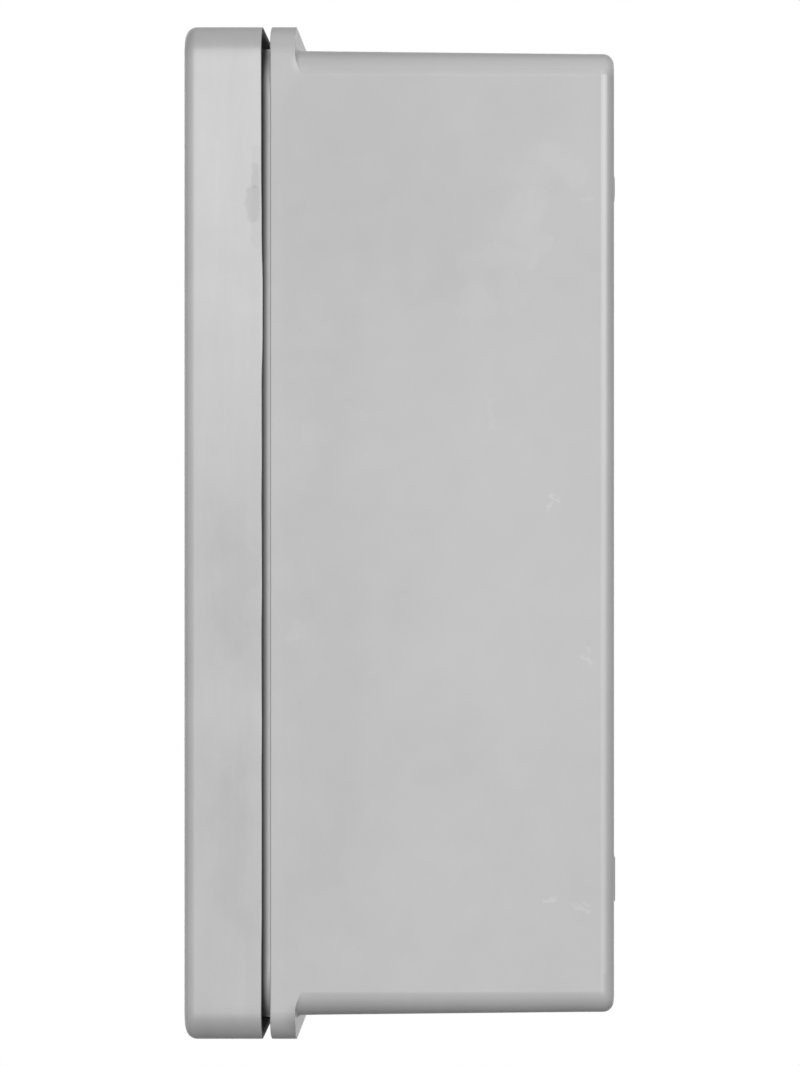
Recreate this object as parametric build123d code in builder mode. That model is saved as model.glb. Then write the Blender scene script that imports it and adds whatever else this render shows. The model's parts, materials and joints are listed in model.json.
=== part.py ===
from build123d import *
import os
from math import cos, hypot, radians, sin, sqrt, tan

os.makedirs("parts", exist_ok=True)

# Frame: X across the width, -Y out of the front, +Z up, wall plane at Y = 0.
# A depth is a distance in front of the wall plane.

# Shell outline
width = 400.0
height = 500.0
outline_corner = 15.0
wall = 3.5
draft = 0.6

# Body tub and flange
tub_depth = 168.9
lip = 12.0
flange_thickness = 12.4
flange_edge = 0.8
lip_fillet = 3.0
tub_corner = 13.0
rear_radius = 5.4
floor_thickness = 4.0

# Collar that stands in the door
collar_end_inset = 9.2
collar_corner = 22.0
collar_edge = 1.5
shoulder_step = 0.5
shoulder_turns = (0, 30, 60, 90)

# Wall fixing
fixing_side_inset = 60.0
fixing_end_inset = 75.0
fixing_hole = 7.0
fixing_boss = 22.0
fixing_boss_height = 3.0
pad_height = 2.1
round_pad = 14.5
square_pad = 23.5
pad_corner = 3.0
pad_edge = 0.8

# Door
door_gap = 4.2
door_depth = 38.2
door_edge = 5.8
rim_edge = 0.5
rim = 3.0
panel = 3.5
rib = 2.5
rib_height = 7.0
gasket_inset = 3.5
gasket_height = 9.4
gasket_clearance = 1.0
soft_clearance = 0.1
swing_clearance = 0.6

# Fasteners
screw_size = 5.0
screw_head = 9.0
screw_head_height = 3.0
screw_head_edge = 0.8
screw_socket = 4.0
screw_socket_depth = 1.6
insert_size = 7.0
insert_length = 5.5
insert_room = 0.5
seat_clearance = 0.05
boss_wall = 2.2
washer_size = 13.0
washer_thickness = 1.0

# Mounting plate
plate_side_room = 70.0
plate_end_room = 30.0
plate_thickness = 2.0
plate_corner = 6.0
plate_edge = 15.0
plate_standoff = 22.0

# Concealed hinges
hinge_end_inset = 85.0
hinge_inset = 15.0
hinge_setback = 18.5
hinge_pin = 5.0
hinge_eye = 9.0
hinge_arm = 3.0
hinge_arm_height = 24.0
hinge_arm_reach = 52.0
hinge_arm_angle = 30.0
hinge_arm_bend = 14.0
hinge_foot = 34.0
hinge_foot_bend = 5.0
hinge_foot_boss = 6.0
foot_screw_first = 12.0
foot_screw_pitch = 14.0
bracket_thickness = 2.5
bracket_height = 68.0
bracket_depth = 22.0
bracket_front = 9.0
ear_clearance = 0.4
bracket_screw_pitch = 50.0
pin_head = 8.0
pin_head_height = 1.5
clip_size = 8.0
clip_thickness = 1.0
running_clearance = 0.05

# Three-point lock
lock_inset = 60.0
lock_pocket_depth = 3.2
lock_flange = 34.0
lock_flange_clearance = 0.5
lock_seal = 0.8
lock_barrel = 22.0
lock_boss = 44.0
lock_boss_height = 5.0
lock_nut = 30.0
lock_nut_height = 5.0
barrel_tail = 4.0
key_well = 18.4
key_well_depth = 7.5
key_shoulder = 18.0
key_shoulder_height = 2.0
key_stud = 5.5
key_stud_height = 3.9
rotor_shaft = 14.0
rotor_clearance = 0.1
rotor_square = 7.0
cam_thickness = 3.0
cam_hub = 12.0
cam_eye = 6.0
cam_layer_gap = 0.4
rod_layer_gap = 0.7
tongue_length = 46.0
tongue_width = 16.0
crank_radius = 19.0
crank_pin = 5.0
rod_thickness = 3.0
rod_width = 12.0
rod_end_clearance = 1.0
rod_tip_chamfer = 1.2
slot_clearance = 0.9
yoke_wall = 3.0
guide_end_inset = 75.0
guide_height = 16.0
guide_wall = 3.0
guide_clearance = 0.3
guide_screw_offset = 11.0
keeper_thickness = 2.5
keeper_width = 30.0
keeper_bend = 3.0
keeper_clearance = 0.4
keeper_lip = 24.0
side_keeper_lip = 16.0
keeper_screw_pitch = 20.0

# Sizes that follow the outline
fixing_x = width - 2 * fixing_side_inset
fixing_z = height - 2 * fixing_end_inset
plate_width = width - 2 * plate_side_room
plate_height = height - 2 * plate_end_room
hinge_spacing = height - 2 * hinge_end_inset
guide_offset = height / 2 - guide_end_inset

# Depths of the main faces
rear_face = pad_height
floor_face = rear_face + floor_thickness
flange_front = rear_face + tub_depth
flange_rear = flange_front - flange_thickness
flange_middle = (flange_front + flange_rear) / 2
door_rear = flange_front + door_gap
door_front = door_rear + door_depth
panel_inner = door_front - panel
gasket_top = panel_inner - gasket_height
collar_front = gasket_top - gasket_clearance
plate_seat = floor_face + plate_standoff

# Hinge line, and the inset of the collar's sides that lets the door's rim swing past the collar
hinge_x = -(width / 2 - hinge_inset)
hinge_depth = flange_front - hinge_setback
rim_reach = width - hinge_inset - rim
rim_radius = hypot(rim_reach, door_rear - hinge_depth)
rim_shift = rim_reach - sqrt(rim_radius ** 2 - (collar_front - hinge_depth) ** 2)
collar_side_inset = rim + rim_shift + swing_clearance

# Convex shoulder at the collar's sides, which clears the door's rim at the rim's rear edge
shoulder_spread = collar_side_inset - flange_edge - shoulder_step
shoulder_depth = door_gap / sqrt(1 - (rim_shift / shoulder_spread) ** 2)

# Outlines of the tub, the collar and its mouth
tub_height = height - 2 * lip
collar_width = width - 2 * collar_side_inset
collar_height = height - 2 * collar_end_inset
mouth_width = collar_width - 2 * wall
mouth_height = collar_height - 2 * wall
mouth_corner = collar_corner - wall
rib_outer_width = mouth_width - 2 * gasket_inset
rib_outer_height = mouth_height - 2 * gasket_inset
rib_outer_corner = mouth_corner - gasket_inset

FRONT = (0, -1, 0)
BACK = (0, 1, 0)
RIGHT = (1, 0, 0)
LEFT = (-1, 0, 0)
boss_size = insert_size + 2 * boss_wall


def front_plane(depth):
    """Plane that faces the front at a depth, with X to the right and Z up."""
    return Plane.XZ.offset(depth)


def seat(x, depth, z, direction):
    """Plane on a seat at a point, with its normal along a direction."""
    return Plane(origin=(x, -depth, z), z_dir=direction)


def make_screw(length):
    """Pan-head screw with a hexagon socket, its seat at the origin and its head along +Z."""
    with BuildPart() as screw:
        Cylinder(screw_head / 2, screw_head_height, align=(Align.CENTER, Align.CENTER, Align.MIN))
        chamfer(screw.faces().sort_by(Axis.Z)[-1].edges(), screw_head_edge)
        with BuildSketch(Plane.XY.offset(screw_head_height)):
            RegularPolygon(screw_socket / 2, 6, major_radius=False)
        extrude(amount=-screw_socket_depth, mode=Mode.SUBTRACT)
        Cylinder(screw_size / 2, length, align=(Align.CENTER, Align.CENTER, Align.MAX))
    return screw.part


def make_ring(outer, inner, length):
    """Flat ring about the Z axis that reaches down from the origin."""
    with BuildPart() as ring:
        with BuildSketch():
            Circle(outer / 2)
            Circle(inner / 2, mode=Mode.SUBTRACT)
        extrude(amount=-length)
    return ring.part


screw_bore = screw_size + 2 * seat_clearance
insert_hole = insert_size + 2 * seat_clearance
insert_hole_depth = insert_length + insert_room
insert = make_ring(insert_size, screw_bore, insert_length)
washer = make_ring(washer_size, screw_bore, washer_thickness)

# Seats of the mounting plate on its bosses
plate_hole_x = plate_width / 2 - plate_edge
plate_hole_z = plate_height / 2 - plate_edge
plate_boss_seats = [seat(x, plate_seat, z, FRONT) for x in (-plate_hole_x, plate_hole_x)
                    for z in (-plate_hole_z, plate_hole_z)]
plate_stack = plate_thickness + washer_thickness

# Seats of the hinge brackets and arms
hinge_heights = {"upper": hinge_spacing / 2, "lower": -hinge_spacing / 2}
mouth_side = mouth_width / 2
mouth_end = mouth_height / 2
bracket_seats = [seat(-mouth_side, flange_middle, z + side * bracket_screw_pitch / 2, RIGHT)
                 for z in hinge_heights.values() for side in (-1, 1)]
foot_seat = panel_inner - hinge_foot_boss
foot_start = hinge_x + hinge_arm_reach
foot_screw_places = [foot_start + foot_screw_first, foot_start + foot_screw_first + foot_screw_pitch]
arm_boss_seats = [seat(x, foot_seat, z, BACK) for z in hinge_heights.values() for x in foot_screw_places]

# Layers of the lock, from the door's front to the back
lock_x = width / 2 - lock_inset
pocket_floor = door_front - lock_pocket_depth
lock_flange_rear = pocket_floor + lock_seal
lock_boss_face = panel_inner - lock_boss_height
nut_rear = lock_boss_face - lock_nut_height
barrel_rear = nut_rear - barrel_tail
cam_front = barrel_rear - cam_layer_gap
cam_rear = cam_front - cam_thickness
rod_front = cam_rear - rod_layer_gap
rod_rear = rod_front - rod_thickness
crank_mean = crank_radius * (1 + cos(radians(45))) / 2
crank_swing = crank_radius * (1 - cos(radians(45)))
crank_throw = crank_radius * cos(radians(45))
rod_travel = 2 * crank_throw

# The lower rod, its guide and its keeper are the upper ones turned half a turn about the lock
half_turn = {"upper": 1, "lower": -1}
guide_front = rod_front + guide_clearance + guide_wall
guide_rear = rod_rear - guide_clearance - guide_wall
guide_depth = guide_front - guide_rear
guide_post = panel_inner - guide_front
guide_post_seats = [seat(lock_x - turn * crank_mean + side * guide_screw_offset, guide_front,
                         turn * guide_offset, BACK) for turn in half_turn.values() for side in (-1, 1)]
end_keeper_seats = [seat(lock_x - turn * crank_mean + side * keeper_screw_pitch / 2, flange_middle,
                         turn * mouth_end, (0, 0, -turn)) for turn in half_turn.values() for side in (-1, 1)]
side_keeper_seats = [seat(mouth_side, flange_middle, side * keeper_screw_pitch / 2, LEFT) for side in (-1, 1)]
keeper_seats = end_keeper_seats + side_keeper_seats
keeper_rear = flange_rear + keeper_thickness / 2
end_keeper_front = rod_front + keeper_clearance + keeper_thickness / 2
side_keeper_front = cam_front + keeper_clearance + keeper_thickness / 2
rod_end_locked = mouth_end - keeper_thickness - rod_end_clearance
rod_end = rod_end_locked - rod_travel

# Hollow of the body: the drafted tub and the mouth through the collar
with BuildPart() as cavity:
    with BuildSketch(front_plane(flange_rear)):
        RectangleRounded(width - 2 * wall, tub_height - 2 * wall, tub_corner - wall)
    extrude(amount=-(flange_rear - floor_face), taper=draft)
    fillet(cavity.faces().sort_by(Axis.Y)[-1].edges(), rear_radius - wall)
    with BuildSketch(front_plane(flange_rear)):
        RectangleRounded(mouth_width, mouth_height, mouth_corner)
    extrude(amount=collar_front - flange_rear)

# Body: drafted tub, flange with lips at top and bottom, shoulder and collar, fixing pads
with BuildPart() as body:
    with BuildSketch(front_plane(flange_rear)):
        RectangleRounded(width, tub_height, tub_corner)
    extrude(amount=-(flange_rear - rear_face), taper=draft)
    fillet(body.faces().sort_by(Axis.Y)[-1].edges(), rear_radius)
    with BuildSketch(front_plane(flange_rear)):
        Rectangle(width + 4 * lip_fillet, height + 4 * lip_fillet)
    extrude(amount=flange_thickness)
    flange_back = body.faces().filter_by(lambda face: len(face.inner_wires()) > 0)[0]
    fillet(flange_back.inner_wires()[0].edges(), lip_fillet)
    with BuildSketch(front_plane(rear_face)):
        RectangleRounded(width, height, outline_corner)
    extrude(amount=tub_depth, mode=Mode.INTERSECT)
    fillet(body.faces().sort_by(Axis.Y)[0].edges(), flange_edge)
    for turn in shoulder_turns:
        spread = shoulder_spread * cos(radians(turn))
        with BuildSketch(front_plane(flange_front + shoulder_depth * sin(radians(turn)))):
            RectangleRounded(collar_width + 2 * spread, collar_height, collar_corner + spread)
    loft()
    with BuildSketch(front_plane(flange_front)):
        RectangleRounded(collar_width, collar_height, collar_corner)
    extrude(amount=collar_front - flange_front)
    add(cavity.part, mode=Mode.SUBTRACT)
    fillet(body.faces().sort_by(Axis.Y)[0].edges(), collar_edge)
    with BuildSketch(front_plane(floor_face)):
        with GridLocations(fixing_x, fixing_z, 2, 2):
            Circle(fixing_boss / 2)
    extrude(amount=fixing_boss_height)
    with BuildSketch(front_plane(floor_face)):
        with GridLocations(2 * plate_hole_x, 2 * plate_hole_z, 2, 2):
            Circle(boss_size / 2)
    extrude(amount=plate_standoff)
    with BuildSketch(front_plane(rear_face)):
        with Locations((-fixing_x / 2, fixing_z / 2), (fixing_x / 2, fixing_z / 2)):
            Circle(round_pad / 2)
        with Locations((-fixing_x / 2, -fixing_z / 2), (fixing_x / 2, -fixing_z / 2)):
            RectangleRounded(square_pad, square_pad, pad_corner)
    extrude(amount=-pad_height)
    chamfer(body.edges().group_by(Axis.Y)[-1], pad_edge)
    with Locations(front_plane(floor_face + fixing_boss_height)):
        with GridLocations(fixing_x, fixing_z, 2, 2):
            Hole(fixing_hole / 2)
    with Locations(*plate_boss_seats, *bracket_seats, *keeper_seats):
        Hole(insert_hole / 2, insert_hole_depth)
body.part.label = "body"
export_step(body.part, "parts/body.step")

# Mounting plate on its four bosses
with BuildPart() as mounting_plate:
    with BuildSketch(front_plane(plate_seat)):
        RectangleRounded(plate_width, plate_height, plate_corner)
        with GridLocations(2 * plate_hole_x, 2 * plate_hole_z, 2, 2):
            Circle(screw_bore / 2, mode=Mode.SUBTRACT)
    extrude(amount=plate_thickness)
mounting_plate.part.label = "mounting_plate"
export_step(mounting_plate.part, "parts/mounting_plate.step")

with BuildPart() as plate_washers:
    with Locations(*[place.offset(plate_stack) for place in plate_boss_seats]):
        add(washer)
plate_washers.part.label = "plate_washers"
export_step(plate_washers.part, "parts/plate_washers.step")

# Door: a shallow tray with a gasket rib, bosses for the hinge feet and guides, and the lock's pocket
with BuildPart() as door:
    with BuildSketch(front_plane(door_rear)):
        RectangleRounded(width, height, outline_corner)
    extrude(amount=door_depth)
    fillet(door.faces().sort_by(Axis.Y)[0].edges(), door_edge)
    with BuildSketch(front_plane(door_rear)):
        RectangleRounded(width - 2 * rim, height - 2 * rim, outline_corner - rim)
    extrude(amount=door_depth - panel, mode=Mode.SUBTRACT)
    fillet(door.faces().sort_by(Axis.Y)[-1].edges(), rim_edge)
    with BuildSketch(front_plane(panel_inner)):
        RectangleRounded(rib_outer_width, rib_outer_height, rib_outer_corner)
        RectangleRounded(rib_outer_width - 2 * rib, rib_outer_height - 2 * rib, rib_outer_corner - rib,
                         mode=Mode.SUBTRACT)
    extrude(amount=-rib_height)
    with BuildSketch(front_plane(panel_inner)):
        with Locations(*[(place.origin.X, place.origin.Z) for place in arm_boss_seats]):
            Circle(boss_size / 2)
    extrude(amount=-hinge_foot_boss)
    with BuildSketch(front_plane(panel_inner)):
        with Locations(*[(place.origin.X, place.origin.Z) for place in guide_post_seats]):
            Circle(boss_size / 2)
    extrude(amount=-guide_post)
    with BuildSketch(front_plane(panel_inner)):
        with Locations((lock_x, 0)):
            Circle(lock_boss / 2)
    extrude(amount=-lock_boss_height)
    with Locations(seat(lock_x, door_front, 0, FRONT)):
        CounterBoreHole(lock_barrel / 2 + seat_clearance, lock_flange / 2 + lock_flange_clearance,
                        lock_pocket_depth, panel + lock_boss_height)
    with Locations(*arm_boss_seats):
        Hole(insert_hole / 2, insert_hole_depth)
    with Locations(*guide_post_seats):
        Hole(insert_hole / 2, insert_hole_depth)
door.part.label = "door"
export_step(door.part, "parts/door.step")

# Foam gasket between the door's rim and its rib
with BuildPart() as door_gasket:
    with BuildSketch(front_plane(panel_inner)):
        RectangleRounded(width - 2 * (rim + soft_clearance), height - 2 * (rim + soft_clearance),
                         outline_corner - rim - soft_clearance)
        RectangleRounded(rib_outer_width + 2 * soft_clearance, rib_outer_height + 2 * soft_clearance,
                         rib_outer_corner + soft_clearance, mode=Mode.SUBTRACT)
    extrude(amount=-gasket_height)
door_gasket.part.label = "door_gasket"
export_step(door_gasket.part, "parts/door_gasket.step")

# Concealed hinges: a bracket and pin on the body, a swan-neck arm on the door
eye_half = hinge_arm_height / 2
ear_inner = eye_half + ear_clearance
ear_outer = ear_inner + bracket_thickness
ear_radius = hinge_x + mouth_side - ear_clearance
bracket_start = hinge_depth + bracket_front
for name, level in hinge_heights.items():
    with BuildPart() as bracket:
        with BuildSketch(Plane(origin=(-mouth_side, 0, level), x_dir=BACK, z_dir=RIGHT)):
            with Locations((-(bracket_start + bracket_depth / 2), 0)):
                RectangleRounded(bracket_depth, bracket_height, bracket_thickness)
        extrude(amount=bracket_thickness)
        for side in (-1, 1):
            with BuildSketch(Plane.XY.offset(level + side * (ear_inner + ear_outer) / 2)):
                with Locations((-mouth_side + bracket_thickness / 2, -(bracket_start + bracket_depth / 2))):
                    Rectangle(bracket_thickness, bracket_depth)
                with Locations((hinge_x, -hinge_depth)):
                    Circle(ear_radius)
                make_hull()
                with Locations((hinge_x, -hinge_depth)):
                    Circle(hinge_pin / 2 + running_clearance, mode=Mode.SUBTRACT)
            extrude(amount=bracket_thickness / 2, both=True)
        with Locations(*[place.offset(bracket_thickness) for place in bracket_seats
                         if abs(place.origin.Z - level) < bracket_height / 2]):
            Hole(screw_bore / 2, bracket_thickness)
    bracket.part.label = name + "_hinge_bracket"
    export_step(bracket.part, "parts/" + name + "_hinge_bracket.step")

    with BuildPart() as arm:
        with BuildSketch(Plane.XY.offset(level)):
            with BuildLine():
                FilletPolyline((hinge_x, -hinge_depth),
                               (foot_start, -hinge_depth + hinge_arm_reach * tan(radians(hinge_arm_angle))),
                               (foot_start, -foot_seat + hinge_arm / 2),
                               (foot_start + hinge_foot, -foot_seat + hinge_arm / 2),
                               radius=(hinge_arm_bend, hinge_foot_bend))
            trace(line_width=hinge_arm)
            with Locations((hinge_x, -hinge_depth)):
                Circle(hinge_eye / 2)
                Circle(hinge_pin / 2 + running_clearance, mode=Mode.SUBTRACT)
        extrude(amount=eye_half, both=True)
        with Locations(*[seat(x, foot_seat - hinge_arm, level, BACK) for x in foot_screw_places]):
            Hole(screw_bore / 2, hinge_arm)
    arm.part.label = name + "_hinge_arm"
    export_step(arm.part, "parts/" + name + "_hinge_arm.step")

    with BuildPart() as pin:
        with BuildSketch(Plane(origin=(hinge_x, -hinge_depth, level + ear_outer))):
            Circle(pin_head / 2)
        extrude(amount=pin_head_height)
        chamfer(pin.faces().sort_by(Axis.Z)[-1].edges(), pin_head_height / 3)
        with BuildSketch(Plane(origin=(hinge_x, -hinge_depth, level + ear_outer))):
            Circle(hinge_pin / 2)
        extrude(amount=-(2 * ear_outer + 2 * clip_thickness))
    pin.part.label = name + "_hinge_pin"
    export_step(pin.part, "parts/" + name + "_hinge_pin.step")

with BuildPart() as hinge_clips:
    with Locations(*[(hinge_x, -hinge_depth, level - ear_outer) for level in hinge_heights.values()]):
        add(make_ring(clip_size, hinge_pin + 2 * running_clearance, clip_thickness))
hinge_clips.part.label = "hinge_clips"
export_step(hinge_clips.part, "parts/hinge_clips.step")

# Lock housing, flush in its pocket, with its seal and nut
with BuildPart() as lock_housing:
    with BuildSketch(front_plane(lock_flange_rear)):
        with Locations((lock_x, 0)):
            Circle(lock_flange / 2)
    extrude(amount=door_front - lock_flange_rear)
    chamfer(lock_housing.faces().sort_by(Axis.Y)[0].edges(), lock_flange_clearance)
    with BuildSketch(front_plane(lock_flange_rear)):
        with Locations((lock_x, 0)):
            Circle(lock_barrel / 2)
    extrude(amount=-(lock_flange_rear - barrel_rear))
    with Locations(seat(lock_x, door_front, 0, FRONT)):
        CounterBoreHole(rotor_shaft / 2 + rotor_clearance, key_well / 2, key_well_depth, door_front - barrel_rear)
lock_housing.part.label = "lock_housing"
export_step(lock_housing.part, "parts/lock_housing.step")

with BuildPart() as lock_seal_ring:
    with Locations(seat(lock_x, lock_flange_rear, 0, FRONT)):
        add(make_ring(lock_flange, lock_barrel + 2 * seat_clearance, lock_seal))
lock_seal_ring.part.label = "lock_seal"
export_step(lock_seal_ring.part, "parts/lock_seal.step")

with BuildPart() as lock_nut_part:
    with BuildSketch(front_plane(lock_boss_face)):
        with Locations((lock_x, 0)):
            RegularPolygon(lock_nut / 2, 6, major_radius=False)
            Circle(lock_barrel / 2 + seat_clearance, mode=Mode.SUBTRACT)
    extrude(amount=-lock_nut_height)
lock_nut_part.part.label = "lock_nut"
export_step(lock_nut_part.part, "parts/lock_nut.step")

# Key rotor: triangular stud in the well, shoulder, shaft and a square tail for the cam
well_floor = door_front - key_well_depth
shoulder_rear = well_floor + rotor_clearance
shoulder_front = shoulder_rear + key_shoulder_height
with BuildPart() as lock_rotor:
    with BuildSketch(front_plane(shoulder_rear)):
        with Locations((lock_x, 0)):
            Circle(key_shoulder / 2)
    extrude(amount=key_shoulder_height)
    with BuildSketch(front_plane(shoulder_front)):
        with Locations((lock_x, 0)):
            RegularPolygon(key_stud, 3, rotation=90)
    extrude(amount=key_stud_height)
    with BuildSketch(front_plane(shoulder_rear)):
        with Locations((lock_x, 0)):
            Circle(rotor_shaft / 2)
    extrude(amount=-(shoulder_rear - cam_front))
    with BuildSketch(front_plane(cam_front)):
        with Locations((lock_x, 0)):
            Rectangle(rotor_square, rotor_square)
    extrude(amount=-cam_thickness)
    with Locations(seat(lock_x, cam_rear, 0, BACK)):
        Hole(screw_bore / 2, insert_hole_depth)
lock_rotor.part.label = "lock_rotor"
export_step(lock_rotor.part, "parts/lock_rotor.step")

# Cam: hub, two crank pins half a turn apart and the tongue, drawn unlocked
crank_places = [(-crank_throw, -crank_throw), (crank_throw, crank_throw)]
clip_front = rod_rear - keeper_clearance
pin_tail = clip_front - 2 * clip_thickness
with BuildPart() as lock_cam:
    with BuildSketch(front_plane(cam_rear)):
        with Locations((lock_x, 0)):
            Circle(cam_hub)
            with Locations(*crank_places):
                Circle(cam_eye)
        make_hull()
        with Locations((lock_x, tongue_length / 2)):
            RectangleRounded(tongue_width, tongue_length, tongue_width / 4)
        with Locations((lock_x, 0)):
            Rectangle(rotor_square + 2 * seat_clearance, rotor_square + 2 * seat_clearance, mode=Mode.SUBTRACT)
    extrude(amount=cam_thickness)
    with BuildSketch(front_plane(cam_rear)):
        with Locations((lock_x, 0)):
            with Locations(*crank_places):
                Circle(crank_pin / 2)
    extrude(amount=-(cam_rear - pin_tail))
lock_cam.part.label = "lock_cam"
export_step(lock_cam.part, "parts/lock_cam.step")

with BuildPart() as rod_clips:
    with Locations(*[seat(lock_x + x, clip_front, z, FRONT) for x, z in crank_places]):
        add(make_ring(clip_size, crank_pin + 2 * running_clearance, clip_thickness))
rod_clips.part.label = "rod_clips"
export_step(rod_clips.part, "parts/rod_clips.step")

with BuildPart() as cam_washer:
    with Locations(seat(lock_x, cam_rear, 0, FRONT)):
        add(washer)
cam_washer.part.label = "cam_washer"
export_step(cam_washer.part, "parts/cam_washer.step")

with BuildPart() as cam_screw:
    with Locations(seat(lock_x, cam_rear - washer_thickness, 0, BACK)):
        add(make_screw(insert_length))
cam_screw.part.label = "cam_screw"
export_step(cam_screw.part, "parts/cam_screw.step")

# Lock rods with a yoke slot over the crank pin, their guides and the end keepers
slot_length = crank_swing + crank_pin + 2 * keeper_clearance
slot_height = crank_pin + 2 * slot_clearance
yoke_width = slot_length + 2 * yoke_wall
yoke_height = slot_height + 2 * yoke_wall
guide_width = 2 * (guide_screw_offset + boss_size / 2)
for name, turn in half_turn.items():
    rod_x = lock_x - turn * crank_mean
    yoke_z = -turn * crank_throw
    with BuildPart() as rod:
        with BuildSketch(front_plane(rod_rear)):
            with Locations((rod_x, (yoke_z + turn * rod_end) / 2)):
                Rectangle(rod_width, rod_end + crank_throw)
            with Locations((rod_x, yoke_z)):
                RectangleRounded(yoke_width, yoke_height, yoke_wall)
                Rectangle(slot_length, slot_height, mode=Mode.SUBTRACT)
        extrude(amount=rod_thickness)
        tip = rod.faces().sort_by(Axis.Z)[-1] if turn > 0 else rod.faces().sort_by(Axis.Z)[0]
        chamfer(tip.edges(), rod_tip_chamfer)
    rod.part.label = name + "_rod"
    export_step(rod.part, "parts/" + name + "_rod.step")

    with BuildPart() as guide:
        with BuildSketch(front_plane(guide_rear)):
            with Locations((rod_x, turn * guide_offset)):
                RectangleRounded(guide_width, guide_height, guide_wall)
        extrude(amount=guide_depth)
        with BuildSketch(Plane.XY.offset(turn * guide_offset)):
            with Locations((rod_x, -(rod_front + rod_rear) / 2)):
                Rectangle(rod_width + 2 * guide_clearance, rod_thickness + 2 * guide_clearance)
        extrude(amount=guide_height, both=True, mode=Mode.SUBTRACT)
        with Locations(*[seat(rod_x + side * guide_screw_offset, guide_rear, turn * guide_offset, BACK)
                         for side in (-1, 1)]):
            Hole(screw_bore / 2, guide_depth)
    guide.part.label = name + "_rod_guide"
    export_step(guide.part, "parts/" + name + "_rod_guide.step")

    keeper_level = turn * (mouth_end - keeper_thickness / 2)
    with BuildPart() as keeper:
        with BuildSketch(Plane.YZ.offset(rod_x)):
            with BuildLine():
                FilletPolyline((-keeper_rear, keeper_level), (-end_keeper_front, keeper_level),
                               (-end_keeper_front, keeper_level - turn * keeper_lip), radius=keeper_bend)
            trace(line_width=keeper_thickness)
        extrude(amount=keeper_width / 2, both=True)
        with Locations(*[place.offset(keeper_thickness) for place in end_keeper_seats
                         if place.origin.Z * turn > 0]):
            Hole(screw_bore / 2, keeper_thickness)
    keeper.part.label = name + "_keeper"
    export_step(keeper.part, "parts/" + name + "_keeper.step")

with BuildPart() as side_keeper:
    side_level = mouth_side - keeper_thickness / 2
    with BuildSketch(Plane.XY):
        with BuildLine():
            FilletPolyline((side_level, -keeper_rear), (side_level, -side_keeper_front),
                           (side_level - side_keeper_lip, -side_keeper_front), radius=keeper_bend)
        trace(line_width=keeper_thickness)
    extrude(amount=keeper_width / 2, both=True)
    with Locations(*[place.offset(keeper_thickness) for place in side_keeper_seats]):
        Hole(screw_bore / 2, keeper_thickness)
side_keeper.part.label = "side_keeper"
export_step(side_keeper.part, "parts/side_keeper.step")

# Screws and threaded inserts, one group for each use: seats in the moulding and the thickness clamped there
fixings = {
    "plate": (plate_boss_seats, plate_stack),
    "hinge_bracket": (bracket_seats, bracket_thickness),
    "hinge_arm": (arm_boss_seats, hinge_arm),
    "guide": (guide_post_seats, guide_depth),
    "keeper": (keeper_seats, keeper_thickness),
}
for name, (seats, clamped) in fixings.items():
    with BuildPart() as screws:
        with Locations(*[place.offset(clamped) for place in seats]):
            add(make_screw(clamped + insert_length))
    screws.part.label = name + "_screws"
    export_step(screws.part, "parts/" + name + "_screws.step")
    with BuildPart() as inserts:
        with Locations(*seats):
            add(insert)
    inserts.part.label = name + "_inserts"
    export_step(inserts.part, "parts/" + name + "_inserts.step")
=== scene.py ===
"""Polyester wall enclosure: finishes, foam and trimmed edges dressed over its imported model."""
import json
import logging
import math
from dataclasses import dataclass
from enum import Enum
from functools import reduce
from typing import Any, Iterable, Union

import bmesh
import bpy
from mathutils import Matrix, Vector, noise

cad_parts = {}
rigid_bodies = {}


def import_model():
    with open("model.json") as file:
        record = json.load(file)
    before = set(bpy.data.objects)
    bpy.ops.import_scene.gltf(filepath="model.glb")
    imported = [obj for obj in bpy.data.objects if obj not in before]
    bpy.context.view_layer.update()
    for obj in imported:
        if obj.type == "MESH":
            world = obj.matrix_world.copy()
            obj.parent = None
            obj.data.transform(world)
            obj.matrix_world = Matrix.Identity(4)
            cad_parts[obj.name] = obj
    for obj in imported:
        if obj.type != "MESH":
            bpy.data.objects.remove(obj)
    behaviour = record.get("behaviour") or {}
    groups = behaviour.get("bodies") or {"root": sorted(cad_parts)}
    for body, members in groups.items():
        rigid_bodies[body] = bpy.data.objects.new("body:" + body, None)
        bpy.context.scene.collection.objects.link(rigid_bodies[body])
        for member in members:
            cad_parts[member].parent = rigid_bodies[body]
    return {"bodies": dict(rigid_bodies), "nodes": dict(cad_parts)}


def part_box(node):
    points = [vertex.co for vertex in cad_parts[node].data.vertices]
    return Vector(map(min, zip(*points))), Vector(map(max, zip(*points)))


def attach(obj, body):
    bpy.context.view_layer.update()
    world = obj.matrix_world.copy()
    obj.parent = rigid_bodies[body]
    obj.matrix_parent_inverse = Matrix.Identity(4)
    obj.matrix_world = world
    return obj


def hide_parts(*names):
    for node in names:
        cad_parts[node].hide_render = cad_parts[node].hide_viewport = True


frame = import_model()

logging.basicConfig(level=logging.INFO, format="%(name)s: %(message)s")
log = logging.getLogger("enclosure")

MM = 0.001
PHOTO_HEIGHT = 1066

# Sockets of the Mix node when it mixes colours
MIX_SHARE, MIX_UNDER, MIX_OVER = 0, 6, 7
MIX_RESULT = 2

Colour = tuple[float, float, float]
Place = tuple[float, float, float]


class Body(Enum):
    """Bodies that made pieces ride on."""

    DOOR = "door"


class Slot(Enum):
    """Material slots of the record."""

    SHELL = "shell"
    SEAL = "seal"


class Octaves(Enum):
    """How much finer noise a cloud has."""

    GRAIN = 2.0
    SOFT = 3.0
    RICH = 4.0


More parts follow.
